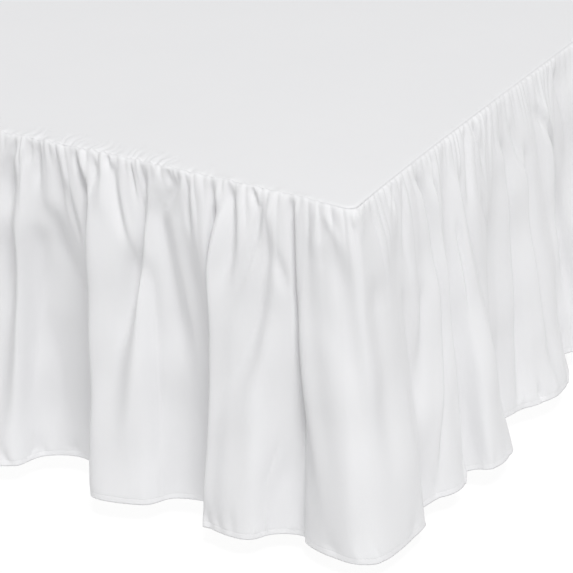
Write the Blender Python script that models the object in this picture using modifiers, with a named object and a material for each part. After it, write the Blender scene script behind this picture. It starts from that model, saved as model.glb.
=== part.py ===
"""A gathered bed skirt hanging over a plain bed base.

A flat deck of cloth lies on the base, and one long ruffle is gathered and sewn to its edge. The ruffle runs
unbroken down the left side, along the foot and up the right side, and the head end is left open.
The foot of the bed faces -Y and the head +Y. A place on the seam is its distance in metres round from the
corner of the foot and the right side, less than zero along the foot and more than zero up the right side.
"""
import math
from collections import namedtuple

import bmesh
import bpy

# The deck, cut for a single mattress
DECK_WIDTH = 0.990
DECK_LENGTH = 1.905
DECK_TOP = 0.400
CLOTH = 0.002
GAP = 0.0003
SEAM_GAP = 0.0007

# The deck's square corners sag where they stand out past the rounded corners of the base
CORNER_SAG = 0.013
CORNER_SAG_DEPTH = 0.045
CORNER_RADIUS = 0.012

# The ruffle's drop from seam to hem, how far its crests stand out along the foot, how far from a corner it starts
# to fan round, and how its folds open and lean on the way down
DROP = 0.377
FOOT_REACH = 0.052
FAN = 0.090
FLARE = 1.1
WALL_LEAN = 0.18

# Just below the seam the gathers puff the cloth out, with two small folds in each large one
PUFF = 0.004
PUFF_DOWN = 0.070
SMALL_FOLD = 0.0035
SMALL_FOLD_CHANGE = 0.0025
SMALL_FOLD_TURN = 2.4

# Columns of points across each fold, and their distances down the cloth
COLUMNS_IN_FOLD = 10
HEIGHTS = (0.0, 0.030, 0.080, 0.160, 0.265, DROP)

# The plain base under the deck
BASE_INSET = 0.016
BASE_CORNER = 0.060
BASE_EDGE = 0.030
BASE_HEIGHT = 0.220
LEG_RADIUS = 0.022
LEG_X = 0.420
LEG_Y = 0.880

# The deck is moved back so that the whole part stands centred on the origin
DECK_SHIFT = FOOT_REACH / 2
FOOT_Y = DECK_SHIFT - DECK_LENGTH / 2
HEAD_Y = DECK_SHIFT + DECK_LENGTH / 2
BASE_TOP = DECK_TOP - CLOTH - GAP
LEFT_CORNER = -DECK_WIDTH
LEFT_END = -DECK_WIDTH - DECK_LENGTH
RIGHT_END = DECK_LENGTH

# How far in from a corner the edge of the deck sags, and how much of the sag is left there
SagStep = namedtuple("SagStep", "distance share")
SAG_STEPS = (
    SagStep(0.000, 1.00),
    SagStep(0.015, 0.86),
    SagStep(0.030, 0.72),
    SagStep(0.045, 0.60),
    SagStep(0.100, 0.25),
    SagStep(0.155, 0.05),
    SagStep(0.200, 0.00),
)

# The folds at the near corner: where each crest starts on the seam and ends at the hem, how far the hem stands
# out there, the place and reach of the hem in the valley after it, and how sharp the crest is
Fold = namedtuple("Fold", "top hem out valley dip sharp")
CORNER_FOLDS = (
    Fold(-0.420, -0.430, 0.040, -0.345, -0.022, 0.8),
    Fold(-0.300, -0.260, 0.046, -0.186, -0.011, 0.8),
    Fold(-0.140, -0.122, 0.052, -0.057, 0.000, 0.8),
    Fold(0.035, 0.055, 0.062, 0.120, 0.032, 1.8),
    Fold(0.140, 0.166, 0.056, 0.203, 0.033, 0.8),
    Fold(0.225, 0.247, 0.071, 0.338, 0.028, 0.8),
    Fold(0.385, 0.437, 0.056, 0.512, 0.010, 0.8),
)
LEFT_CORNER_FOLD = Fold(-0.985, -0.990, 0.042, -0.905, 0.004, 1.2)
CORNER_FOLDS_START = -0.508
LEFT_CORNER_FOLD_START = -1.062

# The folds elsewhere follow each other in this order: width, reach of the crest, reach of the valley, how far
# the crest drifts between the seam and the hem, and how sharp it is
LooseFold = namedtuple("LooseFold", "width out dip drift sharp")
LOOSE_FOLDS = (
    LooseFold(0.135, 0.050, -0.006, 0.012, 0.8),
    LooseFold(0.160, 0.052, 0.004, -0.020, 0.7),
    LooseFold(0.105, 0.040, 0.006, 0.008, 1.0),
    LooseFold(0.145, 0.052, -0.010, 0.022, 0.8),
    LooseFold(0.120, 0.046, 0.008, -0.012, 1.1),
    LooseFold(0.155, 0.051, 0.002, 0.010, 0.7),
)
SIDE_REACH = max(fold.out for fold in CORNER_FOLDS)


def clear_scene():
    for old in list(bpy.data.objects):
        bpy.data.objects.remove(old)


def cloth_material(name, colour, roughness):
    material = bpy.data.materials.new(name)
    material.use_nodes = True
    shader = material.node_tree.nodes["Principled BSDF"]
    shader.inputs["Base Color"].default_value = (*colour, 1.0)
    shader.inputs["Roughness"].default_value = roughness
    shader.inputs["Metallic"].default_value = 0.0
    return material


def add_object(name, bm, material, collection):
    mesh = bpy.data.meshes.new(name)
    bm.to_mesh(mesh)
    bm.free()
    mesh.materials.append(material)
    piece = bpy.data.objects.new(name, mesh)
    collection.objects.link(piece)
    return piece


def thicken(piece, offset):
    solid = piece.modifiers.new("Thickness", "SOLIDIFY")
    solid.thickness = CLOTH
    solid.offset = offset
    solid.use_even_offset = False


def blend(value):
    """Rises smoothly from 0 at -1 to 1 at +1."""
    t = min(max((value + 1) / 2, 0.0), 1.0)
    return t * t * (3 - 2 * t)


def sag_share(distance):
    """Share of the corner sag that the deck's edge keeps at a distance from the corner."""
    for near, far in zip(SAG_STEPS, SAG_STEPS[1:]):
        if distance < far.distance:
            part = (distance - near.distance) / (far.distance - near.distance)
            return near.share + part * (far.share - near.share)
    return 0.0


def corner_distance(place):
    """Distance along the seam to the nearer corner of the foot."""
    return min(abs(place), abs(place - LEFT_CORNER))


def round_corner(distance):
    """Ways in from a corner, along the foot and along the side, of a seam point past that corner."""
    if distance <= -CORNER_RADIUS:
        return -distance, 0.0
    if distance >= CORNER_RADIUS:
        return 0.0, distance
    turn = math.pi / 4 * (1 + distance / CORNER_RADIUS)
    return CORNER_RADIUS * (1 - math.sin(turn)), CORNER_RADIUS * (1 - math.cos(turn))


def seam_point(place):
    """Plan position of the seam, half a cloth and a gap in from the deck's edge."""
    inset = CLOTH / 2 + GAP
    if place > LEFT_CORNER / 2:
        across, back = round_corner(place)
        x = DECK_WIDTH / 2 - across
    else:
        across, back = round_corner(LEFT_CORNER - place)
        x = across - DECK_WIDTH / 2
    facing = seam_facing(place)
    return x - inset * math.sin(facing), FOOT_Y + back + inset * math.cos(facing)


def seam_facing(place):
    """Angle from -Y towards +X that the ruffle faces, fanned out round each corner."""
    quarter = math.pi / 2
    return quarter * blend(place / FAN) - quarter * blend((LEFT_CORNER - place) / FAN)


def seam_height(place):
    """Height of the middle of the ruffle's top edge, whose outer rim rises to a gap below the deck's underside."""
    sag = CORNER_SAG * sag_share(corner_distance(place))
    slope = 2 * sag / CORNER_SAG_DEPTH
    return DECK_TOP - sag - CLOTH * math.hypot(1, slope) - SEAM_GAP


def loose_folds(start, end, first):
    """Folds of the repeating order that fill the seam from one place to another."""
    usual = sum(row.width for row in LOOSE_FOLDS) / len(LOOSE_FOLDS)
    count = round((end - start) / usual)
    rows = [LOOSE_FOLDS[(first + i) % len(LOOSE_FOLDS)] for i in range(count)]
    scale = (end - start) / sum(row.width for row in rows)
    folds = []
    place = start
    for row in rows:
        crest = place + row.width * scale / 2
        place += row.width * scale
        folds.append(Fold(crest - row.drift, crest, row.out, place, row.dip, row.sharp))
    return folds


def all_folds():
    """Every fold from the head end of the left side round to the head end of the right side."""
    left = loose_folds(LEFT_END, LEFT_CORNER_FOLD_START, 0)
    left[len(left) // 2] = left[len(left) // 2]._replace(out=SIDE_REACH)
    foot = loose_folds(LEFT_CORNER_FOLD.valley, CORNER_FOLDS_START, 2)
    right = loose_folds(CORNER_FOLDS[-1].valley, RIGHT_END, 1)
    return left + [LEFT_CORNER_FOLD] + foot + list(CORNER_FOLDS) + right


def ruffle_columns(folds):
    """Columns of the ruffle, each with its turn within the fold and its places on the seam and at the hem."""
    Column = namedtuple("Column", "turn top hem out dip sharp fold")
    half = COLUMNS_IN_FOLD // 2
    columns = []
    before = (LEFT_END, LEFT_END, folds[0].dip)
    for number, fold in enumerate(folds):
        last = number + 1 == len(folds)
        after_top = RIGHT_END if last else (fold.top + folds[number + 1].top) / 2
        after = (after_top, fold.valley, fold.dip)
        for step in range(-half, half + last):
            share = abs(step) / half
            valley_top, valley_hem, dip = before if step < 0 else after
            top = fold.top + share * (valley_top - fold.top)
            hem = fold.hem + share * (valley_hem - fold.hem)
            columns.append(Column(math.pi * step / half, top, hem, fold.out, dip, fold.sharp, number))
        before = after
    return columns


def ruffle_reach(column, down):
    """How far the ruffle stands out, and its place along the seam, at a length of cloth below the seam."""
    part = down / DROP
    crest = 0.5 + 0.5 * math.cos(column.turn)
    depth = column.out - column.dip
    out = (column.dip + depth * crest ** column.sharp) * part ** FLARE
    small = SMALL_FOLD + SMALL_FOLD_CHANGE * math.sin(SMALL_FOLD_TURN * column.fold)
    puff = down / PUFF_DOWN * math.exp(1 - down / PUFF_DOWN)
    out += puff * (PUFF + small * math.sin(column.turn) ** 2)
    slide = WALL_LEAN * depth * math.sin(2 * column.turn) * part
    drift = 1 - (1 - part) ** 2
    return out, column.top + (column.hem - column.top) * drift + slide


def ruffle_line(column):
    """Points down one column of the ruffle, each step keeping its length of cloth."""
    points = []
    height = seam_height(column.top)
    last_down, last_out = 0.0, 0.0
    for down in HEIGHTS:
        out, place = ruffle_reach(column, down)
        height -= math.sqrt(max((down - last_down) ** 2 - (out - last_out) ** 2, 0.0))
        x, y = seam_point(place)
        facing = seam_facing(place)
        points.append((x + out * math.sin(facing), y - out * math.cos(facing), height))
        last_down, last_out = down, out
    return points


def build_ruffle(material, collection):
    lines = [ruffle_line(column) for column in ruffle_columns(all_folds())]
    bm = bmesh.new()
    wide, high = len(lines) - 1, len(HEIGHTS) - 1
    bmesh.ops.create_grid(bm, x_segments=wide, y_segments=high, size=0.5)
    for vert in bm.verts:
        column = round((vert.co.x + 0.5) * wide)
        row = round((0.5 - vert.co.y) * high)
        vert.co = lines[column][row]
    bmesh.ops.recalc_face_normals(bm, faces=bm.faces)
    thicken(add_object("ruffle", bm, material, collection), 0.0)


def deck_lines():
    """Grid lines of the deck: across from left to right, and from the foot to the head."""
    ways_in = [step.distance for step in SAG_STEPS]
    across = [way - DECK_WIDTH / 2 for way in ways_in] + [DECK_WIDTH / 2 - way for way in reversed(ways_in)]
    along = [FOOT_Y + way for way in ways_in] + [HEAD_Y - CORNER_SAG_DEPTH, HEAD_Y]
    return across, along


def deck_sag(x, y):
    """How far the deck sags at a point, only near the two corners of the foot."""
    from_side = DECK_WIDTH / 2 - abs(x)
    from_foot = y - FOOT_Y
    from_edge = min(from_side, from_foot)
    if from_edge >= CORNER_SAG_DEPTH:
        return 0.0
    return CORNER_SAG * sag_share(math.hypot(from_side, from_foot)) * (1 - from_edge / CORNER_SAG_DEPTH) ** 2


def build_deck(material, collection):
    across, along = deck_lines()
    bm = bmesh.new()
    wide, long = len(across) - 1, len(along) - 1
    bmesh.ops.create_grid(bm, x_segments=wide, y_segments=long, size=0.5)
    for vert in bm.verts:
        x = across[round((vert.co.x + 0.5) * wide)]
        y = along[round((vert.co.y + 0.5) * long)]
        height = DECK_TOP - deck_sag(x, y)
        if math.hypot(DECK_WIDTH / 2 - abs(x), y - FOOT_Y) < CORNER_RADIUS:
            cut = CORNER_RADIUS * (1 - math.sqrt(0.5))
            x -= math.copysign(cut, x)
            y += cut
        vert.co = (x, y, height)
    bmesh.ops.recalc_face_normals(bm, faces=bm.faces)
    thicken(add_object("deck", bm, material, collection), -1.0)


def build_base(material, collection):
    bm = bmesh.new()
    bmesh.ops.create_cube(bm, size=1.0)
    size = (DECK_WIDTH - 2 * BASE_INSET, DECK_LENGTH - 2 * BASE_INSET, BASE_HEIGHT)
    for vert in bm.verts:
        vert.co.x *= size[0]
        vert.co.y = vert.co.y * size[1] + DECK_SHIFT
        vert.co.z = (vert.co.z - 0.5) * size[2] + BASE_TOP
    upright = [edge for edge in bm.edges if abs(edge.verts[0].co.z - edge.verts[1].co.z) > BASE_HEIGHT / 2]
    bmesh.ops.bevel(bm, geom=upright, offset=BASE_CORNER, segments=6, profile=0.5, affect="EDGES", material=-1)
    level = [edge for edge in bm.edges if len({round(face.normal.z) for face in edge.link_faces}) == 2]
    bmesh.ops.bevel(bm, geom=level, offset=BASE_EDGE, segments=3, profile=0.5, affect="EDGES", material=-1)
    add_object("bed_base", bm, material, collection)


def build_legs(material, collection):
    height = BASE_TOP - BASE_HEIGHT - GAP
    spots = [(name_x, x, name_y, y)
             for name_x, x in (("left", -LEG_X), ("right", LEG_X))
             for name_y, y in (("foot", -LEG_Y), ("middle", 0.0), ("head", LEG_Y))]
    for name_x, x, name_y, y in spots:
        bm = bmesh.new()
        bmesh.ops.create_cone(bm, cap_ends=True, segments=20, radius1=LEG_RADIUS, radius2=LEG_RADIUS, depth=height)
        bmesh.ops.translate(bm, verts=bm.verts, vec=(x, y + DECK_SHIFT, height / 2))
        add_object(f"leg_{name_y}_{name_x}", bm, material, collection)


def main():
    clear_scene()
    collection = bpy.data.collections.new("bed_skirt_on_base")
    bpy.context.scene.collection.children.link(collection)
    cotton = cloth_material("white_cotton", (0.80, 0.80, 0.81), 0.85)
    ticking = cloth_material("base_ticking", (0.70, 0.69, 0.67), 0.9)
    wood = cloth_material("leg_wood", (0.55, 0.40, 0.26), 0.5)
    build_deck(cotton, collection)
    build_ruffle(cotton, collection)
    build_base(ticking, collection)
    build_legs(wood, collection)


main()
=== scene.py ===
"""A white gathered bed skirt on a plain bed base, seen over the corner of the foot and the right side.

Everything is in metres, with the foot of the bed towards -Y, the head towards +Y and the floor at 0.
"""

import math
import random
from collections import namedtuple

import bmesh
import bpy
import numpy as np
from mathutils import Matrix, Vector


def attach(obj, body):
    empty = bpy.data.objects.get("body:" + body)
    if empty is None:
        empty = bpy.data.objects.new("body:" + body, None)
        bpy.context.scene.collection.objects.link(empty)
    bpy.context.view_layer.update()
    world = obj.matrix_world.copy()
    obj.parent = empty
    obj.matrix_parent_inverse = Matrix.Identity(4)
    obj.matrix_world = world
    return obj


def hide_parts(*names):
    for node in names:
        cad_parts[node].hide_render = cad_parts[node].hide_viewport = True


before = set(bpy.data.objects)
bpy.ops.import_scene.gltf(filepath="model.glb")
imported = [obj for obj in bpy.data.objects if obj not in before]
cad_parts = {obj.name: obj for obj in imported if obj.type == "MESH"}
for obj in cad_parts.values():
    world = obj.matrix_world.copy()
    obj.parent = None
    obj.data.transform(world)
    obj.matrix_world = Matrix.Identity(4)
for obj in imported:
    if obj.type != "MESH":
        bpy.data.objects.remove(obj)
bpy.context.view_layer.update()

# The camera looks down at the near corner of the bed with a long lens, as in a shop's picture of the cloth.
# Its lens is given by how many pixels of the square picture one radian covers.
CAMERA_PLACE = (1.549, -2.9955, 1.375)
CAMERA_DOWN = 24.59
CAMERA_TURN = 28.60
PIXELS_A_RADIAN = 2600
PICTURE_PIXELS = 573

camera_data = bpy.data.cameras.new("camera")
camera_data.lens = camera_data.sensor_width * PIXELS_A_RADIAN / PICTURE_PIXELS
camera = bpy.data.objects.new("camera", camera_data)
camera.location = CAMERA_PLACE
camera.rotation_euler = (math.radians(90 - CAMERA_DOWN), 0, math.radians(CAMERA_TURN))
bpy.context.scene.collection.objects.link(camera)
bpy.context.scene.camera = camera

# The studio is an even white room with one broad soft light, high to the right of the camera, that leaves
# the left side of each valley along the foot in shade. The floor is plain white, as the picture's is.
ROOM_LIGHT = 0.30
KEY_TURN = 42
KEY_UP = 64.5
KEY_AWAY = 20.0
KEY_AIM = (0.40, -0.85, 0.20)
KEY_SIZE = 6.3
KEY_POWER = 3444
FLOOR_SIZE = 30
FLOOR_GLOW = 0.93
FLOOR_GREY = 0.10

bpy.context.scene.view_settings.view_transform = "Standard"
world = bpy.data.worlds.new("studio")
world.use_nodes = True
world.node_tree.nodes["Background"].inputs["Color"].default_value = (1.0, 1.0, 1.0, 1.0)
world.node_tree.nodes["Background"].inputs["Strength"].default_value = ROOM_LIGHT
bpy.context.scene.world = world

key_data = bpy.data.lights.new("key", "AREA")
key_data.size = KEY_SIZE
key_data.energy = KEY_POWER
key = bpy.data.objects.new("key", key_data)
key_turn, key_up = math.radians(KEY_TURN), math.radians(KEY_UP)
key_level = math.cos(key_up)
key_way = Vector((math.sin(key_turn) * key_level, -math.cos(key_turn) * key_level, math.sin(key_up)))
key.location = Vector(KEY_AIM) + KEY_AWAY * key_way
key.rotation_euler = key_way.to_track_quat("Z", "Y").to_euler()
bpy.context.scene.collection.objects.link(key)

floor_mesh = bpy.data.meshes.new("floor")
bm = bmesh.new()
bmesh.ops.create_grid(bm, x_segments=1, y_segments=1, size=FLOOR_SIZE / 2)
bm.to_mesh(floor_mesh)
bm.free()
floor = bpy.data.objects.new("floor", floor_mesh)
bpy.context.scene.collection.objects.link(floor)
floor_paint = bpy.data.materials.new("floor_paint")
floor_paint.use_nodes = True
floor_shader = floor_paint.node_tree.nodes["Principled BSDF"]
floor_shader.inputs["Base Color"].default_value = (FLOOR_GREY, FLOOR_GREY, FLOOR_GREY, 1.0)
floor_shader.inputs["Specular IOR Level"].default_value = 0.0
floor_shader.inputs["Roughness"].default_value = 1.0
floor_shader.inputs["Emission Color"].default_value = (1.0, 1.0, 1.0, 1.0)
floor_shader.inputs["Emission Strength"].default_value = FLOOR_GLOW
floor_mesh.materials.append(floor_paint)


# The deck is one flat rectangle of white cotton that lies on the base, cut for a single mattress. The
# ruffle is sewn to three of its edges, which draws small slanting puckers into it along the foot. Its two
# square corners there sag past the rounded corners of the base, and its edge at the head has a plain hem.
DECK_WIDTH = 0.990
DECK_LENGTH = 1.905
DECK_TOP = 0.400
DECK_CLOTH = 0.0012
DECK_SHIFT = 0.026
FOOT_Y = DECK_SHIFT - DECK_LENGTH / 2
HEAD_Y = DECK_SHIFT + DECK_LENGTH / 2
CORNER_SAG = 0.005
CORNER_SAG_DEPTH = 0.250
CORNER_RADIUS = 0.012
SAG_DISTANCES = (0.000, 0.030, 0.080, 0.140, 0.200, 0.300)
SAG_SHARES = (1.00, 0.80, 0.50, 0.26, 0.10, 0.00)
RIM_ROUND = 0.005
RIM_DROP = 0.0004
CORNER_RIM_DROP = 0.0012
CORNER_RIM_REACH = 0.030
HEAD_HEM = 0.012
HEAD_HEM_RISE = 0.0009
HEAD_HEM_STEP = 0.002
COTTON_WHITE = (0.790, 0.790, 0.800)
COTTON_SHADE = (0.765, 0.766, 0.778)
COTTON_ROUGHNESS = 0.88
COTTON_SHEEN = 0.15
COTTON_SHEEN_ROUGHNESS = 0.5
COTTON_SHINE = 0.25
COTTON_RELIEF = 0.0003
THREAD = 0.0006
THREAD_RELIEF = 0.06
SLUB_SCALE = 210.0
SLUB_RELIEF = 0.25
SLUB_TONE = 0.3
CRUMPLE_SCALE = 38.0
CRUMPLE_RELIEF = 0.7
CLOUD_SCALE = 9.0
CLOUD_TONE = 0.7
STITCH_LENGTH = 0.0032
STITCH_WIDTH = 0.0009
STITCH_GROOVE = 0.2
STITCH_DENT = 0.4

# The deck's mesh is finer where the puckers and the hem are. Its spans across the bed and up from the foot
# each have their start, their end and the step between lines.
DECK_X_SPANS = (
    (-DECK_WIDTH / 2, 0.045, 0.0050),
    (0.045, 0.335, 0.0015),
    (0.335, DECK_WIDTH / 2, 0.0030),
)
DECK_Y_SPANS = (
    (0.000, 0.036, 0.0024),
    (0.036, 0.160, 0.0080),
    (0.160, 1.885, 0.0350),
    (1.885, DECK_LENGTH, 0.0020),
)


class Value:
    """An output of a shader node. Arithmetic on it adds Math nodes, and node adds one of any other type."""

    def __init__(self, tree, socket=None):
        self.tree = tree
        self.socket = socket

    def node(self, kind, settings=None, inputs=None, output=0):
        made = self.tree.nodes.new(kind)
        for name, setting in (settings or {}).items():
            setattr(made, name, setting)
        for name, value in (inputs or {}).items():
            if isinstance(value, Value):
                self.tree.links.new(value.socket, made.inputs[name])
            else:
                made.inputs[name].default_value = value
        return Value(self.tree, made.outputs[output])

    def maths(self, operation, *values):
        return self.node("ShaderNodeMath", {"operation": operation}, dict(enumerate(values)))

    def __add__(self, other):
        return self.maths("ADD", self, other)

    __radd__ = __add__

    def __sub__(self, other):
        return self.maths("SUBTRACT", self, other)

    def __rsub__(self, other):
        return self.maths("SUBTRACT", other, self)

    def __mul__(self, other):
        return self.maths("MULTIPLY", self, other)

    __rmul__ = __mul__

    def __truediv__(self, other):
        return self.maths("DIVIDE", self, other)

    def wave(self, length):
        """Swings between -1 and 1 once in each length."""
        return self.maths("SINE", self * (2 * math.pi / length))

    def near(self, place, width):
        """1 at a place, falling to 0 at a distance of width to either side of it."""
        return self.maths("MAXIMUM", 1 - self.maths("ABSOLUTE", self - place) / width, 0.0)

    def noise(self, place, scale, detail):
        """Uneven values between 0 and 1 over the places, with that many spots to the metre."""
        inputs = {"Vector": place, "Scale": scale, "Detail": detail}
        return self.node("ShaderNodeTexNoise", {}, inputs, "Fac")

    def blend_colours(self, low, high):
        """The low colour where this is 0 and the high one where it is 1."""
        # The node's colours are its sockets 6 and 7, and the mixed colour is its output 2
        inputs = {0: self, 6: (*low, 1.0), 7: (*high, 1.0)}
        return self.node("ShaderNodeMix", {"data_type": "RGBA"}, inputs, 2)


def start_material(name, roughness):
    """A new material with its shader and a Value to build its nodes from."""
    material = bpy.data.materials.new(name)
    material.use_nodes = True
    shader = material.node_tree.nodes["Principled BSDF"]
    shader.inputs["Roughness"].default_value = roughness
    return material, shader, Value(material.node_tree)


def finish_material(material, shader, colour, height, depth):
    """Feeds the shader its colour and a bump of that height, in metres at its deepest."""
    bump = colour.node("ShaderNodeBump", {}, {"Strength": 1.0, "Distance": depth, "Height": height})
    material.node_tree.links.new(colour.socket, shader.inputs["Base Color"])
    material.node_tree.links.new(bump.socket, shader.inputs["Normal"])
    return material


def cotton(name, stitch_line=None):
    """Smooth white cotton, woven along its UV map in metres, with a row of stitches across it if wanted."""
    material, shader, start = start_material(name, COTTON_ROUGHNESS)
    shader.inputs["Sheen Weight"].default_value = COTTON_SHEEN
    shader.inputs["Sheen Roughness"].default_value = COTTON_SHEEN_ROUGHNESS
    shader.inputs["Specular IOR Level"].default_value = COTTON_SHINE
    place = start.node("ShaderNodeUVMap", {"uv_map": "cloth"})
    across = start.node("ShaderNodeSeparateXYZ", {}, {0: place}, "X")
    down = start.node("ShaderNodeSeparateXYZ", {}, {0: place}, "Y")
    where = start.node("ShaderNodeTexCoord", {}, {}, "Object")
    slubs = start.noise(where, SLUB_SCALE, detail=3.0)
    crumples = start.noise(where, CRUMPLE_SCALE, detail=4.0)
    clouds = start.noise(where, CLOUD_SCALE, detail=2.0)
    weave = across.wave(THREAD) * down.wave(THREAD)
    height = weave * THREAD_RELIEF + slubs * SLUB_RELIEF + crumples * CRUMPLE_RELIEF
    tone = clouds * CLOUD_TONE + slubs * SLUB_TONE
    if stitch_line is not None:
        dash = across.wave(STITCH_LENGTH) * 0.5 + 0.5
        height = height - down.near(stitch_line, STITCH_WIDTH) * (STITCH_GROOVE + STITCH_DENT * dash)
    colour = tone.blend_colours(COTTON_SHADE, COTTON_WHITE)
    return finish_material(material, shader, colour, height, COTTON_RELIEF)


def add_piece(name, bm, material, cloth_places=None):
    """Makes a smooth piece of the bmesh, with the places on the cloth as its UV map, riding on the bed."""
    mesh = bpy.data.meshes.new(name)
    bm.to_mesh(mesh)
    bm.free()
    mesh.materials.append(material)
    mesh.shade_smooth()
    if cloth_places is not None:
        corners = np.empty(len(mesh.loops), np.int32)
        mesh.loops.foreach_get("vertex_index", corners)
        layer = mesh.uv_layers.new(name="cloth")
        layer.data.foreach_set("uv", np.asarray(cloth_places, np.float32)[corners].ravel())
    piece = bpy.data.objects.new(name, mesh)
    bpy.context.scene.collection.objects.link(piece)
    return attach(piece, "root")


def sheet_grid(points):
    """A bmesh grid with a column of vertices for each row of points in the array."""
    columns, rows = points.shape[:2]
    bm = bmesh.new()
    bmesh.ops.create_grid(bm, x_segments=columns - 1, y_segments=rows - 1, size=0.5)
    order = []
    for vert in bm.verts:
        column = round((vert.co.x + 0.5) * (columns - 1))
        row = round((0.5 - vert.co.y) * (rows - 1))
        vert.co = points[column, row]
        order.append(column * rows + row)
    bmesh.ops.recalc_face_normals(bm, faces=bm.faces)
    return bm, order


def graded_lines(spans):
    """Grid lines through spans that each have their start, their end and the step between lines."""
    lines = []
    for start, end, step in spans:
        lines.append(np.linspace(start, end, round((end - start) / step), endpoint=False))
    return np.concatenate(lines + [[spans[-1][1]]])


def deck_sag(from_side, from_foot):
    """How far the deck hangs at its two corners at the foot."""
    share = np.interp(np.hypot(from_side, from_foot), SAG_DISTANCES, SAG_SHARES)
    return CORNER_SAG * share * np.maximum(1 - np.minimum(from_side, from_foot) / CORNER_SAG_DEPTH, 0)


def rim_drop(from_side, from_foot):
    """How far the deck turns down right at its sewn edges, more so near its corners at the foot."""
    share = np.exp(-(np.hypot(from_side, from_foot) / CORNER_RIM_REACH) ** 2)
    edge = np.maximum(1 - np.minimum(from_side, from_foot) / RIM_ROUND, 0) ** 2
    return (RIM_DROP + CORNER_RIM_DROP * share) * edge


# The gathering pulls the seam up and down along the foot, in uneven waves that each have their length and
# height. They begin a little way from the corners.
SEAM_WAVES = ((0.0113, 0.0005), (0.0187, 0.0006), (0.0470, 0.0006))
SEAM_WAVE_DEPTH = 0.007
SEAM_WAVE_SLIP = 1.6
SEAM_WAVE_SLIP_LENGTH = 2.7
SEAM_WAVE_FROM_CORNER = 0.014
SEAM_WAVE_RAMP = 0.030


def seam_waver(x, from_side, from_foot):
    """How far the seam along the foot is pulled up, with the deck's edge, fading into the deck."""
    total = 0
    for length, height in SEAM_WAVES:
        turn = 2 * np.pi * x / length
        slip = SEAM_WAVE_SLIP * np.sin(turn / SEAM_WAVE_SLIP_LENGTH)
        total = total + height * np.sin(turn + slip)
    ramp = np.clip((from_side - SEAM_WAVE_FROM_CORNER) / SEAM_WAVE_RAMP, 0, 1)
    return total * np.exp(-(from_foot / SEAM_WAVE_DEPTH) ** 2) * ramp


# Small folds slant into the deck from the seam along the foot, in groups that each have their distance from
# the middle of the bed, their width and their strength
PUCKER_GROUPS = (
    (-0.440, 0.040, 0.5), (-0.310, 0.030, 0.7), (-0.180, 0.045, 0.6), (-0.030, 0.030, 0.5),
    (0.060, 0.014, 0.7), (0.122, 0.010, 1.0), (0.163, 0.014, 1.0), (0.204, 0.012, 1.0),
    (0.240, 0.012, 0.9), (0.272, 0.014, 1.0), (0.335, 0.016, 0.3),
)
PUCKER_SPACING = 0.0080
PUCKER_HEIGHT = 0.0012
PUCKER_LENGTH = 0.018
PUCKER_FADE = 1.6
PUCKER_START = 0.002
PUCKER_SLANT = 0.06
PUCKER_BEND = 0.0015
PUCKER_BEND_UP = 190
PUCKER_BEND_ALONG = 70
PUCKER_SLIP = 0.0016
PUCKER_SLIP_ALONG = 290


def puckers(x, from_foot):
    """Small folds that the gathering draws into the deck along the foot, in groups."""
    bend = PUCKER_BEND * np.sin(from_foot * PUCKER_BEND_UP + x * PUCKER_BEND_ALONG)
    place = x + PUCKER_SLANT * from_foot + bend
    strength = 0
    for middle, width, share in PUCKER_GROUPS:
        strength = strength + share * np.exp(-((place - middle) / width) ** 2)
    slip = PUCKER_SLIP * np.sin(place * PUCKER_SLIP_ALONG)
    waves = np.sin(2 * np.pi * (place + slip) / PUCKER_SPACING)
    fade = np.exp(-(from_foot / PUCKER_LENGTH) ** PUCKER_FADE) * np.minimum(from_foot / PUCKER_START, 1)
    return PUCKER_HEIGHT * waves * strength * fade


x, y = np.meshgrid(graded_lines(DECK_X_SPANS), FOOT_Y + graded_lines(DECK_Y_SPANS), indexing="ij")
from_side = DECK_WIDTH / 2 - np.abs(x)
from_foot = y - FOOT_Y
from_head = DECK_LENGTH - from_foot
rim = rim_drop(from_side, from_foot)
head_hem = HEAD_HEM_RISE * np.clip((HEAD_HEM - from_head) / HEAD_HEM_STEP, 0, 1)
z = DECK_TOP - deck_sag(from_side, from_foot) - rim + head_hem + puckers(x, from_foot)
z = z + seam_waver(x, from_side, from_foot)

# Its two corners at the foot are rounded a little, as the ruffle goes round them without a break
side_part = np.maximum(CORNER_RADIUS - from_side, 0)
foot_part = np.maximum(CORNER_RADIUS - from_foot, 0)
squeeze = 1 - np.maximum(side_part, foot_part) / np.maximum(np.hypot(side_part, foot_part), 1e-6)
x, y = x - np.copysign(side_part * squeeze, x), y + foot_part * squeeze
bm, order = sheet_grid(np.stack([x, y, z], axis=-1))

# The faces are turned upwards, so that the cloth gets its thickness below them
bmesh.ops.reverse_faces(bm, faces=bm.faces)
deck_cotton = cotton("deck_cotton", HEAD_Y - HEAD_HEM)
deck = add_piece("deck_cloth", bm, deck_cotton, np.stack([x, y], axis=-1).reshape(-1, 2)[order])
deck_thickness = deck.modifiers.new("Thickness", "SOLIDIFY")
deck_thickness.thickness = DECK_CLOTH
deck_thickness.offset = -1.0
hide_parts("deck")


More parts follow.
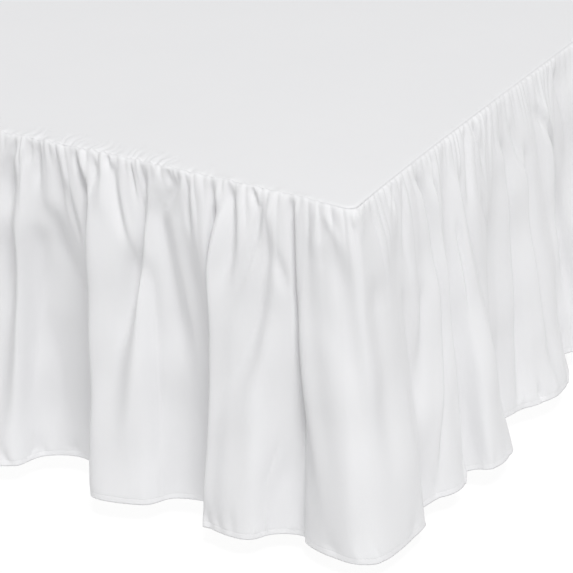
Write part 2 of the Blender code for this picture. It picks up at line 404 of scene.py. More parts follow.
# The ruffle is one long strip of the same cotton, gathered along its top and sewn to the edge of the deck
# round three sides, with a narrow stitched hem turned up inside. A place on the seam is its distance from
# the near corner, less than zero along the foot. A length down is measured on the cloth from the seam.
DROP = 0.377
FAN = 0.090
FLARE = 1.1
WALL_LEAN = 0.18
PUFF = 0.004
PUFF_DOWN = 0.070
SMALL_FOLD = 0.0035
SMALL_FOLD_CHANGE = 0.0025
SMALL_FOLD_TURN = 2.4
LEFT_CORNER = -DECK_WIDTH
LEFT_END = -DECK_WIDTH - DECK_LENGTH
RIGHT_END = DECK_LENGTH
FINE_START = -0.47
FINE_END = 0.56
FINE_STEP = 0.0015
COARSE_STEP = 0.0038
ROW_FIRST = 0.0015
ROW_GROWTH = 1.16
ROW_LARGEST = 0.009
HEM = 0.006
HEM_ROWS = (0.0140, 0.0100, 0.0080, 0.0068, HEM, 0.0050, 0.0030, 0.0012, 0.0000)
HEM_INSIDE_ROWS = (0.0012, 0.0030, HEM)
HEM_THICK = 0.0010

# Each large fold at the near corner: where its crest starts on the seam and ends at the hem, how far the
# hem stands out there, the place and reach of the hem in the valley after it, how sharp the crest is
# towards the valley before it and the one after, and which wall is tucked close under it near the seam:
# -1 for the wall before the crest, 1 for the one after and 0 for neither
Fold = namedtuple("Fold", "top hem out valley dip before after tuck")
CORNER_FOLDS = (
    Fold(-0.420, -0.430, 0.040, -0.345, -0.022, 0.8, 0.8, -1),
    Fold(-0.300, -0.260, 0.046, -0.172, -0.007, 1.0, 0.8, -1),
    Fold(-0.140, -0.116, 0.051, -0.050, 0.008, 0.9, 0.85, -1),
    Fold(0.030, 0.068, 0.055, 0.104, 0.032, 0.22, 1.7, 0),
    Fold(0.138, 0.159, 0.054, 0.178, 0.034, 0.7, 1.0, 1),
    Fold(0.240, 0.224, 0.074, 0.320, 0.020, 0.8, 0.8, 1),
    Fold(0.395, 0.425, 0.057, 0.487, 0.012, 0.5, 0.9, 1),
)
LEFT_CORNER_FOLD = Fold(-0.985, -0.990, 0.042, -0.905, 0.004, 1.2, 1.2, 0)
CORNER_FOLDS_START = -0.508
LEFT_CORNER_FOLD_START = -1.062

# The folds elsewhere repeat in this order. Each has its width, the reach of its crest and of its valley,
# how far its crest drifts between the seam and the hem, how sharp it is, and which wall is tucked.
LooseFold = namedtuple("LooseFold", "width out dip drift sharp tuck")
LOOSE_FOLDS = (
    LooseFold(0.135, 0.050, -0.006, 0.012, 0.8, -1),
    LooseFold(0.160, 0.052, 0.004, -0.020, 0.7, 1),
    LooseFold(0.105, 0.040, 0.006, 0.008, 1.0, 0),
    LooseFold(0.145, 0.052, -0.010, 0.022, 0.8, 1),
    LooseFold(0.120, 0.046, 0.008, -0.012, 1.1, -1),
    LooseFold(0.155, 0.051, 0.002, 0.010, 0.7, -1),
)
TUCK = 2.2
SEAM_PULL_DOWN = 0.030

# One fold on the left side stands out as far as the largest one by the near corner
SIDE_REACH = max(fold.out for fold in CORNER_FOLDS)


def blend(value):
    """Rises smoothly from 0 at -1 to 1 at +1."""
    t = np.clip((value + 1) / 2, 0, 1)
    return t * t * (3 - 2 * t)


def seam_facing(place):
    """Angle from -Y towards +X that the ruffle faces, fanned out round each corner."""
    quarter = np.pi / 2
    return quarter * blend(place / FAN) - quarter * blend((LEFT_CORNER - place) / FAN)


def round_corner(distance):
    """Ways in from a corner, along the foot and along the side, of a seam point past that corner."""
    turn = np.pi / 4 * (1 + np.clip(distance / CORNER_RADIUS, -1, 1))
    across = np.where(distance < -CORNER_RADIUS, -distance, CORNER_RADIUS * (1 - np.sin(turn)))
    back = np.where(distance > CORNER_RADIUS, distance, CORNER_RADIUS * (1 - np.cos(turn)))
    return across, back


def seam_point(place):
    """Plan position of the seam, on the deck's edge."""
    right_across, right_back = round_corner(place)
    left_across, left_back = round_corner(LEFT_CORNER - place)
    right = place > LEFT_CORNER / 2
    x = np.where(right, DECK_WIDTH / 2 - right_across, left_across - DECK_WIDTH / 2)
    y = FOOT_Y + np.where(right, right_back, left_back)
    return x, y


def seam_height(place):
    """Height of the ruffle's top edge, at the rim of the deck."""
    corner_distance = np.minimum(np.abs(place), np.abs(place - LEFT_CORNER))
    return DECK_TOP - deck_sag(0, corner_distance) - rim_drop(0, corner_distance)


def seam_pull(place, down):
    """How far the cloth goes up and down with the wavering seam along the foot, less the further down."""
    from_foot = np.maximum(place, LEFT_CORNER - place).clip(0)
    from_side = np.where(from_foot > 0, 0, np.minimum(np.abs(place), np.abs(place - LEFT_CORNER)))
    return seam_waver(place + DECK_WIDTH / 2, from_side, from_foot) * np.exp(-(down / SEAM_PULL_DOWN) ** 2)


def loose_folds(start, end, first):
    """Folds of the repeating order that fill the seam from one place to another."""
    usual = sum(row.width for row in LOOSE_FOLDS) / len(LOOSE_FOLDS)
    count = round((end - start) / usual)
    rows = [LOOSE_FOLDS[(first + i) % len(LOOSE_FOLDS)] for i in range(count)]
    scale = (end - start) / sum(row.width for row in rows)
    folds = []
    place = start
    for row in rows:
        crest = place + row.width * scale / 2
        place += row.width * scale
        shape = (row.out, place, row.dip, row.sharp, row.sharp, row.tuck)
        folds.append(Fold(crest - row.drift, crest, *shape))
    return folds


def all_folds():
    """Every fold from the head end of the left side round to the head end of the right side."""
    left = loose_folds(LEFT_END, LEFT_CORNER_FOLD_START, 0)
    left[len(left) // 2] = left[len(left) // 2]._replace(out=SIDE_REACH)
    foot = loose_folds(LEFT_CORNER_FOLD.valley, CORNER_FOLDS_START, 2)
    right = loose_folds(CORNER_FOLDS[-1].valley, RIGHT_END, 1)
    return left + [LEFT_CORNER_FOLD] + foot + list(CORNER_FOLDS) + right


def ruffle_columns(folds):
    """Columns of the ruffle as named arrays, with their turn in their fold and places at top and hem."""
    Column = namedtuple("Column", "turn top hem out dip sharp tucked fold")
    columns = []
    before = (LEFT_END, LEFT_END, folds[0].dip)
    for number, fold in enumerate(folds):
        last = number + 1 == len(folds)
        after_top = RIGHT_END if last else (fold.top + folds[number + 1].top) / 2
        after = (after_top, fold.valley, fold.dip)
        spacing = FINE_STEP if FINE_START < fold.top < FINE_END else COARSE_STEP
        for side, (valley_top, valley_hem, dip) in ((-1, before), (1, after)):
            sharp = fold.before if side < 0 else fold.after
            tucked = side == fold.tuck
            count = round(abs(valley_top - fold.top) / spacing)
            shares = [i / count for i in range(count)]
            if side < 0:
                shares = [1 - share for share in shares]
            elif last:
                shares.append(1.0)
            for share in shares:
                turn = side * math.pi * share
                top = fold.top + share * (valley_top - fold.top)
                hem = fold.hem + share * (valley_hem - fold.hem)
                columns.append(Column(turn, top, hem, fold.out, dip, sharp, tucked, number))
        before = after
    return Column(*(np.array(values)[:, None] for values in zip(*columns)))


def row_depths():
    """Lengths down the cloth of the rows of vertices, close together at the seam and at the hem."""
    depths, step = [0.0], ROW_FIRST
    while depths[-1] + step < DROP - HEM_ROWS[0] - step / 2:
        depths.append(depths[-1] + step)
        step = min(step * ROW_GROWTH, ROW_LARGEST)
    return np.array(depths + [DROP - up for up in HEM_ROWS])


def ruffle_reach(column, down):
    """How far the large folds stand out and their place along the seam, at a length down the cloth."""
    part = down / DROP
    crest = 0.5 + 0.5 * np.cos(column.turn)
    depth = column.out - column.dip
    sharp = column.sharp * (1 + column.tucked * TUCK * (1 - part))
    out = (column.dip + depth * crest ** sharp) * part ** FLARE
    small = SMALL_FOLD + SMALL_FOLD_CHANGE * np.sin(SMALL_FOLD_TURN * column.fold)
    puff = down / PUFF_DOWN * np.exp(1 - down / PUFF_DOWN)
    out = out + puff * (PUFF + small * np.sin(column.turn) ** 2)
    slide = WALL_LEAN * depth * np.sin(2 * column.turn) * part
    drift = 1 - (1 - part) ** 2
    return out, column.top + (column.hem - column.top) * drift + slide


# Between its stitches the gathering lets small puffs of cloth out below the seam, and no two are alike in
# width, reach or length. A puff also rises a little over the seam.
GATHER_WIDTH = (0.005, 0.014)
GATHER_REACH = (0.0018, 0.0048)
GATHER_LENGTH = (0.012, 0.062)
GATHER_ROUND = 0.55
GATHER_START = 0.0038
GATHER_FADE = 1.5
GATHER_LIFT = (0.0002, 0.0014)
GATHER_LIFT_DOWN = 0.0035
GATHER_SEED = 11


def gathers(place, down):
    """How far the puffs below the seam stand out, and how much they rise over it."""
    chance = random.Random(GATHER_SEED)
    edges = [LEFT_END]
    while edges[-1] < RIGHT_END:
        wider = 1 if FINE_START < edges[-1] < FINE_END else 2
        edges.append(edges[-1] + wider * chance.uniform(*GATHER_WIDTH))
    edges = np.array(edges)
    reach = np.array([chance.uniform(*GATHER_REACH) for _ in edges])
    length = np.array([chance.uniform(0, 1) ** 2 for _ in edges]) * (GATHER_LENGTH[1] - GATHER_LENGTH[0])
    length += GATHER_LENGTH[0]
    at = np.clip(np.searchsorted(edges, place, side="right") - 1, 0, len(edges) - 2)
    share = np.clip((place - edges[at]) / (edges[at + 1] - edges[at]), 0, 1)
    puff = np.sin(np.pi * share) ** GATHER_ROUND * reach[at]
    out = puff * (1 - np.exp(-down / GATHER_START)) * np.exp(-(down / length[at]) ** GATHER_FADE)
    lift = down / GATHER_LIFT_DOWN * np.exp(1 - down / GATHER_LIFT_DOWN)
    return out, lift * (GATHER_LIFT[0] + GATHER_LIFT[1] * puff / GATHER_REACH[1])


# The main creases: the place on the seam and the length down of the upper end, then of the lower end, how
# far the middle bows to greater places, the depth of the trough (a ridge if less than zero), the height of
# the ridge beside it, and its width. That ridge lies towards greater places, or towards lesser ones if the
# width is negative. It laps over the trough by so much where the cloth is folded over itself.
Crease = namedtuple("Crease", "top start foot end bow deep high wide lap", defaults=(0.0,))
CREASES = (
    # Along the foot, from the left edge of the picture to its first overlapping fold
    Crease(-0.386, 0.000, -0.404, 0.055, -0.003, 0.0045, 0.0020, 0.005),
    Crease(-0.398, 0.020, -0.432, 0.460, 0.001, 0.0110, 0.0040, 0.010),
    Crease(-0.404, 0.090, -0.424, 0.420, 0.000, 0.0110, 0.0000, 0.013),
    Crease(-0.376, 0.000, -0.379, 0.034, 0.002, 0.0030, 0.0010, 0.004),
    Crease(-0.365, 0.000, -0.369, 0.062, 0.000, 0.0045, 0.0015, 0.004),
    Crease(-0.368, 0.090, -0.397, 0.380, 0.000, 0.0055, 0.0000, 0.008),
    Crease(-0.349, 0.004, -0.376, 0.180, 0.000, -0.0040, 0.0000, 0.006),
    Crease(-0.345, 0.000, -0.350, 0.080, 0.000, 0.0045, 0.0000, 0.010),
    Crease(-0.362, 0.060, -0.352, 0.160, 0.000, 0.0045, 0.0010, 0.007),
    Crease(-0.352, 0.040, -0.356, 0.440, -0.002, 0.0070, 0.0000, 0.022),
    Crease(-0.340, 0.030, -0.327, 0.120, 0.000, 0.0025, 0.0010, 0.005),
    Crease(-0.323, 0.000, -0.311, 0.060, 0.002, 0.0045, 0.0045, 0.005, 0.003),
    Crease(-0.3065, 0.015, -0.288, 0.600, -0.0215, 0.0070, 0.0060, 0.008, 0.011),
    # The first fold
    Crease(-0.299, 0.000, -0.301, 0.085, 0.003, 0.0045, 0.0015, 0.0045),
    Crease(-0.281, 0.000, -0.283, 0.016, 0.000, 0.0030, 0.0010, 0.003),
    Crease(-0.274, 0.000, -0.271, 0.105, -0.006, 0.0040, 0.0015, 0.005),
    Crease(-0.254, 0.000, -0.257, 0.050, 0.001, 0.0030, 0.0010, 0.004),
    Crease(-0.238, 0.000, -0.300, 0.220, 0.007, 0.0065, 0.0050, 0.006, 0.004),
    Crease(-0.262, 0.080, -0.306, 0.370, -0.014, 0.0130, 0.0030, 0.011),
    Crease(-0.250, 0.090, -0.268, 0.400, 0.000, 0.0040, 0.0000, 0.008),
    Crease(-0.209, 0.002, -0.212, 0.022, 0.000, 0.0035, 0.0010, 0.004),
    Crease(-0.220, 0.000, -0.229, 0.032, 0.000, -0.0030, 0.0000, 0.005),
    Crease(-0.194, 0.000, -0.242, 0.062, 0.003, 0.0045, 0.0020, 0.005),
    Crease(-0.182, 0.000, -0.196, 0.072, -0.003, 0.0035, 0.0010, 0.004),
    Crease(-0.231, 0.030, -0.226, 0.260, -0.001, 0.0060, 0.0015, 0.009),
    # The second fold
    Crease(-0.158, 0.000, -0.168, 0.170, 0.002, 0.0050, 0.0040, 0.005, 0.003),
    Crease(-0.150, 0.015, -0.153, 0.560, -0.023, 0.0075, 0.0060, 0.007, 0.0085),
    Crease(-0.137, 0.000, -0.157, 0.125, 0.010, 0.0050, 0.0020, 0.005),
    Crease(-0.114, 0.002, -0.104, 0.026, 0.000, 0.0020, 0.0010, 0.004),
    Crease(-0.113, 0.000, -0.107, 0.016, 0.000, 0.0030, 0.0010, 0.003),
    Crease(-0.098, 0.000, -0.147, 0.120, 0.009, 0.0045, 0.0025, 0.005),
    Crease(-0.090, 0.020, -0.172, 0.280, 0.012, 0.0085, 0.0000, 0.013),
    Crease(-0.085, 0.058, -0.070, 0.110, 0.000, 0.0040, 0.0000, 0.006),
    Crease(-0.077, 0.272, -0.107, 0.330, 0.000, 0.0020, 0.0012, 0.004),
    Crease(-0.098, 0.340, -0.117, 0.366, 0.000, 0.0020, 0.0012, 0.004),
    # The corner
    Crease(-0.067, 0.000, -0.048, 0.360, 0.000, 0.0045, 0.0045, 0.0042, 0.005),
    Crease(-0.038, 0.120, -0.031, 0.440, 0.000, -0.0040, 0.0000, 0.010),
    Crease(-0.036, 0.002, -0.049, 0.058, 0.000, -0.0030, 0.0000, 0.004),
    Crease(-0.036, 0.002, -0.016, 0.046, 0.000, -0.0025, 0.0000, 0.004),
    Crease(-0.049, 0.060, -0.020, 0.044, 0.000, 0.0010, 0.0012, 0.005),
    Crease(-0.021, 0.030, -0.007, 0.300, 0.000, 0.0080, 0.0010, 0.012),
    Crease(-0.002, 0.000, -0.002, 0.020, 0.000, -0.0030, 0.0000, 0.003),
    Crease(0.004, 0.000, 0.010, 0.034, 0.003, -0.0030, 0.0000, 0.003),
    Crease(0.016, 0.070, 0.012, 0.370, 0.001, 0.0065, -0.0020, 0.010),
    Crease(0.092, 0.080, 0.096, 0.220, 0.000, -0.0040, 0.0000, 0.009),
    # Up the right side
    Crease(0.079, 0.000, 0.060, 0.045, 0.000, 0.0030, 0.0015, -0.004),
    Crease(0.096, 0.000, 0.083, 0.090, 0.000, 0.0030, 0.0015, -0.004),
    Crease(0.070, 0.110, 0.086, 0.290, 0.006, 0.0040, 0.0000, 0.007),
    Crease(0.112, 0.120, 0.083, 0.300, 0.000, 0.0045, 0.0000, -0.008),
    Crease(0.132, 0.010, 0.094, 0.400, 0.022, 0.0050, 0.0050, -0.008, 0.005),
    Crease(0.129, 0.010, 0.136, 0.100, -0.001, 0.0035, 0.0015, -0.005),
    Crease(0.168, 0.000, 0.157, 0.085, 0.000, 0.0035, 0.0020, -0.005),
    Crease(0.163, 0.020, 0.166, 0.450, 0.000, 0.0060, 0.0060, -0.008, 0.0055),
    Crease(0.207, 0.090, 0.225, 0.210, 0.000, 0.0030, 0.0010, -0.004),
    Crease(0.219, 0.030, 0.260, 0.370, 0.013, 0.0050, 0.0030, -0.009),
    Crease(0.262, 0.080, 0.290, 0.175, 0.006, 0.0045, 0.0015, -0.006),
    Crease(0.246, 0.000, 0.242, 0.100, 0.000, 0.0040, 0.0020, -0.005),
    Crease(0.264, 0.000, 0.283, 0.065, 0.000, 0.0050, 0.0030, -0.005),
    Crease(0.334, 0.040, 0.334, 0.450, 0.007, 0.0060, 0.0060, -0.008, 0.008),
    Crease(0.350, 0.030, 0.374, 0.130, 0.000, 0.0030, 0.0015, -0.004),
    Crease(0.377, 0.060, 0.397, 0.420, -0.008, 0.0055, 0.0040, -0.008, 0.005),
    Crease(0.434, 0.002, 0.452, 0.400, 0.004, -0.0130, 0.0000, 0.021),
    Crease(0.408, 0.030, 0.520, 0.440, 0.050, 0.0070, 0.0030, 0.009, 0.003),
    Crease(0.483, 0.010, 0.525, 0.140, 0.000, 0.0040, 0.0020, -0.006),
)

# The creases of each fold away from the near corner, measured from its crest. They repeat in three sets,
# and are turned over for a fold whose wall after the crest is the tucked one.
LooseCrease = namedtuple("LooseCrease", "shift start drift end bow deep high wide lap")
LOOSE_CREASES = (
    (
        LooseCrease(-0.011, 0.015, -0.030, 0.560, -0.012, 0.0070, 0.0060, 0.008, 0.010),
        LooseCrease(0.008, 0.000, -0.016, 0.120, 0.006, 0.0045, 0.0020, 0.007, 0.000),
        LooseCrease(0.042, 0.000, -0.040, 0.110, 0.005, 0.0050, 0.0020, 0.007, 0.000),
        LooseCrease(0.046, 0.040, -0.050, 0.290, 0.008, 0.0085, 0.0000, 0.013, 0.000),
    ),
    (
        LooseCrease(-0.016, 0.000, -0.052, 0.300, 0.004, 0.0065, 0.0040, 0.008, 0.004),
        LooseCrease(0.012, 0.000, 0.006, 0.080, 0.000, 0.0045, 0.0015, 0.007, 0.000),
        LooseCrease(0.030, 0.030, 0.022, 0.260, -0.004, 0.0070, 0.0010, 0.011, 0.000),
        LooseCrease(0.052, 0.000, -0.006, 0.060, 0.000, 0.0040, 0.0010, 0.006, 0.000),
    ),
    (
        LooseCrease(-0.020, 0.010, -0.014, 0.480, 0.006, 0.0060, 0.0050, 0.008, 0.006),
        LooseCrease(0.002, 0.060, -0.024, 0.360, -0.006, 0.0090, 0.0020, 0.012, 0.000),
        LooseCrease(0.026, 0.000, -0.010, 0.140, 0.003, 0.0045, 0.0015, 0.007, 0.000),
    ),
)
CREASE_RISE = 4
CREASE_RISE_MOST = 0.35
CREASE_FALL = 0.45
CREASE_FROM_SEAM = 0.004
RIDGE_BESIDE = 1.5
LAP_AT_SEAM = 0.25
LAP_FULL = 0.090


def crease_shape(crease, place, down):
    """How far one crease moves the cloth out or in, and along the seam."""
    run, fall = crease.foot - crease.top, crease.end - crease.start
    length = math.hypot(run, fall)
    along = ((place - crease.top) * run + (down - crease.start) * fall) / length ** 2
    across = ((place - crease.top) * fall - (down - crease.start) * run) / length
    inside = np.clip(along, 0, 1)
    across = (across - crease.bow * 4 * inside * (1 - inside)) / crease.wide
    beside = np.exp(-(across - RIDGE_BESIDE) ** 2)
    trough = -crease.deep * np.exp(-across ** 2)
    ridge = crease.high * beside
    lap = crease.lap * np.minimum(LAP_AT_SEAM + (1 - LAP_AT_SEAM) * down / LAP_FULL, 1)
    lapped = -math.copysign(1, crease.wide) * lap * beside
    rise = min(CREASE_RISE * abs(crease.wide) / length, CREASE_RISE_MOST)
    strength = blend(2 * along / rise - 1) * blend(2 * (1 - along) / CREASE_FALL - 1)
    strength = strength * np.minimum(down / CREASE_FROM_SEAM, 1)
    return (trough + ridge) * strength, lapped * strength


def loose_creases(folds):
    """The creases of all the folds away from the near corner."""
    creases = []
    for number, fold in enumerate(folds):
        if FINE_START < fold.top < FINE_END:
            continue
        way = -1 if fold.tuck > 0 else 1
        for row in LOOSE_CREASES[number % len(LOOSE_CREASES)]:
            top = fold.top + way * row.shift
            foot = top + way * row.drift
            shape = (way * row.bow, row.deep, row.high, way * row.wide, row.lap)
            creases.append(Crease(top, row.start, foot, row.end, *shape))
    return creases


# The hem is turned up inside and stitched. Its row of stitches lies in a slight groove, and the cloth above
# and below it puckers a little.
HEM_GROOVE = 0.00016
HEM_GROOVE_WIDTH = 0.0016
HEM_PUCKER_SPACING = (0.009, 0.030)
HEM_PUCKER = 0.0040
HEM_PUCKER_WIDTH = 0.0032
HEM_PUCKER_WIDTHS = 4
HEM_PUCKER_LEAN = 0.5
HEM_PUCKER_HEIGHT = 0.011
HEM_PUCKER_CHANGE = (0.6, 1.5)
HEM_SEED = 5


def hem_shape(place, down):
    """The groove of the stitches and the puckers over it."""
    up = DROP - down
    shape = -HEM_GROOVE * np.exp(-((up - HEM) / HEM_GROOVE_WIDTH) ** 2) + 0 * place
    chance = random.Random(HEM_SEED)
    spot = LEFT_END
    while spot < RIGHT_END:
        near = np.abs(place[:, 0] - spot) < HEM_PUCKER_WIDTH * HEM_PUCKER_WIDTHS
        lean = chance.uniform(-HEM_PUCKER_LEAN, HEM_PUCKER_LEAN)
        size = HEM_PUCKER * chance.uniform(-1, 1)
        tall = HEM_PUCKER_HEIGHT * chance.uniform(*HEM_PUCKER_CHANGE)
        across = (place[near] - spot - lean * (up - HEM)) / HEM_PUCKER_WIDTH
        shape[near] += size * np.exp(-across ** 2) * np.exp(-((up - HEM - tall / 2) / tall) ** 2)
        spot += chance.uniform(*HEM_PUCKER_SPACING)
    return shape


# Cloth that has been folded in its packet is never quite even. Its slight waves each have their width,
# their length down the cloth and their height.
WAVES = ((0.043, 0.31, 0.0006), (0.067, 0.19, 0.0007), (0.110, 0.47, 0.0012), (0.176, 0.26, 0.0014))
WAVES_APART = 0.31
WAVE_BEND = 1.3
WAVE_BEND_WIDTH = 0.23
WAVE_FROM_SEAM = 0.05


def unevenness(place, down):
    """How far the slight waves across and down the cloth move it out or in."""
    total = 0
    for number, (width, length, height) in enumerate(WAVES):
        turn = 2 * np.pi * (place / width + down / length + WAVES_APART * number)
        bend = WAVE_BEND * np.sin(2 * np.pi * (down / length - place / WAVE_BEND_WIDTH))
        total = total + height * np.sin(turn + bend)
    return total * np.minimum(down / WAVE_FROM_SEAM, 1)


# The deepest valleys go in almost to the side of the base, and a little further below its bottom edge. These
# are lengths down the cloth, and the reach from the seam that the cloth keeps to at each of them.
BASE_SIDE_DEPTHS = (0.000, 0.020, 0.200, 0.377)
BASE_SIDE_REACHES = (-0.0020, -0.0125, -0.0125, -0.0260)
BASE_SIDE_SOFT = 0.002


def kept_off_base(out, down):
    """The same reach, but held a little way off the base."""
    least = np.interp(down, BASE_SIDE_DEPTHS, BASE_SIDE_REACHES)
    above = out - least
    return least + (above + np.sqrt(above ** 2 + BASE_SIDE_SOFT ** 2)) / 2


def ruffle_points(columns, down, creases):
    """Where each column and row of the ruffle hangs."""
    top = columns.top + 0 * down
    out, place = ruffle_reach(columns, down)
    puff, lift = gathers(top, down)
    fall = np.sqrt(np.maximum(np.diff(down, axis=1) ** 2 - np.diff(out, axis=1) ** 2, 0))
    fallen = np.concatenate([np.zeros_like(out[:, :1]), np.cumsum(fall, axis=1)], axis=1)
    out = out + puff + hem_shape(top, down) + unevenness(top, down)
    for crease in creases:
        creased, lapped = crease_shape(crease, top, down)
        out += creased
        place = place + lapped
    out = kept_off_base(out, down)
    x, y = seam_point(place)
    facing = seam_facing(place)
    z = seam_height(columns.top) + seam_pull(columns.top, down) - fallen + lift
    return np.stack([x + out * np.sin(facing), y - out * np.cos(facing), z], axis=-1)


def turned_up(points, down):
    """Rows of points for the cloth turned up inside the hem, a cloth in from the rows that face them."""
    along_strip, along_drop = np.gradient(points, axis=0), np.gradient(points, axis=1)
    inward = np.cross(along_strip, along_drop)
    inward /= np.linalg.norm(inward, axis=-1, keepdims=True)
    rows = []
    for up in HEM_INSIDE_ROWS:
        near = np.argmin(np.abs(down[0] - (DROP - up)))
        rows.append(points[:, near] + inward[:, near] * HEM_THICK)
    return np.stack(rows, axis=1)


folds = all_folds()
columns = ruffle_columns(folds)
down = row_depths()[None, :]
points = ruffle_points(columns, down, list(CREASES) + loose_creases(folds))
points = np.concatenate([points, turned_up(points, down)], axis=1)
bm, order = sheet_grid(points)
steps = np.linalg.norm(np.diff(points[:, down.shape[1] // 2], axis=0), axis=-1)
strip_place = np.concatenate([[0], np.cumsum(steps)])
cloth_down = np.concatenate([down[0], DROP + np.array(HEM_INSIDE_ROWS)])
cloth_places = np.stack(np.meshgrid(strip_place, cloth_down, indexing="ij"), axis=-1).reshape(-1, 2)[order]
ruffle = add_piece("ruffle_cloth", bm, cotton("ruffle_cotton", DROP - HEM), cloth_places)
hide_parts("ruffle")


# The base is a plain foundation for a single mattress: a box with a little padding under ticking. Its top
# and bottom panels are sewn to the side panel with a corded seam. Its corners at the foot give way under
# the sagging corners of the deck.
BASE_WIDTH = 0.958
BASE_LENGTH = 1.873
BASE_TOP = 0.3977
BASE_HEIGHT = 0.220
BASE_CORNER = 0.060
BASE_EDGE = 0.030
BASE_EDGE_STEPS = 7
BASE_CORNER_STEPS = 14
BASE_SIDE_STEPS = 40
BASE_SIDE_IN = 0.0015
BASE_SEAM_UP = 0.034
BASE_CORD = 0.0026
BASE_CORD_ROWS = (-0.0060, -0.0045, -0.0030, -0.0015, 0.0000, 0.0015, 0.0030, 0.0045, 0.0060)
BASE_CORD_FLAT = 1.2
BASE_CORD_CLEAR = 0.004
BASE_SEAM_PULL = 0.020
BASE_PANEL_ROWS = 12
BASE_PANEL_INSET = BASE_CORNER * 0.8
BASE_GIVE = 6
TICKING_PALE = (0.700, 0.690, 0.665)
TICKING_SHADE = (0.640, 0.628, 0.602)
TICKING_ROUGHNESS = 0.85
TICKING_RELIEF = 0.0003
TICKING_THREAD = 0.0011
TICKING_SLUB_SCALE = 160.0
TICKING_SLUB_TONE = 0.6
TICKING_TWILL_TONE = 0.2
TICKING_TONE = 0.2


def base_outline(inset):
    """The rounded outline of the base in plan, drawn in by the inset, closed on its first point."""
    points = []
    for quarter in range(4):
        across = 1 if quarter in (0, 3) else -1
        along = 1 if quarter in (0, 1) else -1
        middle = Vector((across * (BASE_WIDTH / 2 - BASE_CORNER), along * (BASE_LENGTH / 2 - BASE_CORNER)))
        for step in range(BASE_CORNER_STEPS + 1):
            turn = math.pi / 2 * (quarter + step / BASE_CORNER_STEPS)
            points.append(middle + (BASE_CORNER - inset) * Vector((math.cos(turn), math.sin(turn))))
    closed = points + [points[0]]
    outline = []
    for number, point in enumerate(points):
        ends_corner = (number + 1) % (BASE_CORNER_STEPS + 1) == 0
        count = BASE_SIDE_STEPS if ends_corner else 1
        for step in range(count):
            outline.append(point.lerp(closed[number + 1], step / count))
    return outline + [outline[0]]


def base_profile():
    """Inset and height above the bottom of the rings from the bottom panel up to the top panel."""
    turns = [math.pi / 2 * step / BASE_EDGE_STEPS for step in range(BASE_EDGE_STEPS + 1)]
    bottom = [(BASE_EDGE * (1 - math.sin(turn)), BASE_EDGE * (1 - math.cos(turn))) for turn in turns]
    cords = [BASE_SEAM_UP + row for row in BASE_CORD_ROWS]
    panel_start = cords[-1] + BASE_CORD_CLEAR
    panel_end = BASE_HEIGHT - cords[-1] - BASE_CORD_CLEAR
    panel = list(np.linspace(panel_start, panel_end, BASE_PANEL_ROWS))
    heights = cords + panel + [BASE_HEIGHT - height for height in reversed(cords)]
    rings = [(BASE_PANEL_INSET, 0.0)] + bottom
    for height in heights:
        from_seam = min(abs(height - BASE_SEAM_UP), abs(BASE_HEIGHT - BASE_SEAM_UP - height))
        pulled = BASE_SIDE_IN * (1 + math.exp(-from_seam / BASE_SEAM_PULL))
        cord = BASE_CORD * math.sqrt(max(1 - (from_seam / BASE_CORD / BASE_CORD_FLAT) ** 2, 0))
        rings.append((pulled - cord, height))
    rings += [(inset, BASE_HEIGHT - height) for inset, height in reversed(bottom)]
    return rings + [(BASE_PANEL_INSET, BASE_HEIGHT)]


rings = [np.array(base_outline(inset)) for inset, height in base_profile()]
heights = np.array([height for inset, height in base_profile()])
plan = np.stack(rings, axis=1)
from_side = DECK_WIDTH / 2 - np.abs(plan[..., 0])
from_foot = plan[..., 1] + DECK_LENGTH / 2
give = deck_sag(from_side, from_foot) * (heights / BASE_HEIGHT) ** BASE_GIVE
z = BASE_TOP - BASE_HEIGHT + heights - give
bm, order = sheet_grid(np.stack([plan[..., 0], plan[..., 1] + DECK_SHIFT, z], axis=-1))
bmesh.ops.remove_doubles(bm, verts=bm.verts, dist=0.00001)
bmesh.ops.holes_fill(bm, edges=bm.edges, sides=0)
bmesh.ops.recalc_face_normals(bm, faces=bm.faces)

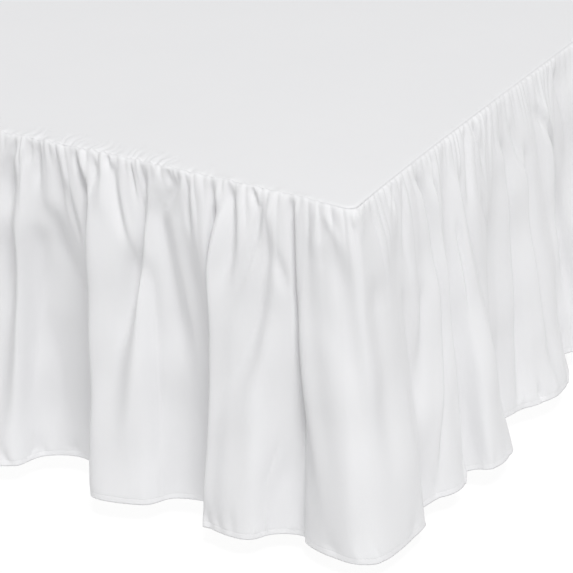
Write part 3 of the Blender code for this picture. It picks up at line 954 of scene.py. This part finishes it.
ticking, shader, start = start_material("ticking", TICKING_ROUGHNESS)
where = start.node("ShaderNodeTexCoord", {}, {}, "Object")
east = start.node("ShaderNodeSeparateXYZ", {}, {0: where}, "X")
north = start.node("ShaderNodeSeparateXYZ", {}, {0: where}, "Y")
up = start.node("ShaderNodeSeparateXYZ", {}, {0: where}, "Z")
twill = (east + north + up).wave(TICKING_THREAD) * 0.5 + (east + north - up).wave(TICKING_THREAD) * 0.5
slubs = start.noise(where, TICKING_SLUB_SCALE, detail=3.0)
tone = slubs * TICKING_SLUB_TONE + twill * TICKING_TWILL_TONE + TICKING_TONE
colour = tone.blend_colours(TICKING_SHADE, TICKING_PALE)
finish_material(ticking, shader, colour, twill * 0.5 + slubs * 0.5, TICKING_RELIEF)
base = add_piece("base_cover", bm, ticking)
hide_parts("bed_base")


# Six short round legs of pale wood are screwed under the base, two at its foot, two at its middle and two
# at its head. They are turned along the grain, which runs up and down, and lightly varnished.
LEG_NAMES = [f"leg_{along}_{side}" for along in ("foot", "middle", "head") for side in ("left", "right")]
WOOD_PALE = (0.520, 0.360, 0.215)
WOOD_DARK = (0.390, 0.250, 0.135)
WOOD_ROUGHNESS = 0.45
WOOD_VARNISH = 0.15
WOOD_RELIEF = 0.0002
GRAIN_SCALE = 190.0
GRAIN_STRETCH = 0.06
GRAIN_TONE = 0.6
BAND_SCALE = 45.0
BAND_TONE = 0.4

wood, shader, start = start_material("leg_wood", WOOD_ROUGHNESS)
shader.inputs["Coat Weight"].default_value = WOOD_VARNISH
where = start.node("ShaderNodeTexCoord", {}, {}, "Object")
grain_place = start.node("ShaderNodeMapping", {}, {"Vector": where, "Scale": (1.0, 1.0, GRAIN_STRETCH)})
grain = start.noise(grain_place, GRAIN_SCALE, detail=5.0)
bands = start.noise(grain_place, BAND_SCALE, detail=2.0)
colour = (grain * GRAIN_TONE + bands * BAND_TONE).blend_colours(WOOD_DARK, WOOD_PALE)
finish_material(wood, shader, colour, grain, WOOD_RELIEF)
for name in LEG_NAMES:
    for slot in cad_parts[name].material_slots:
        slot.material = wood
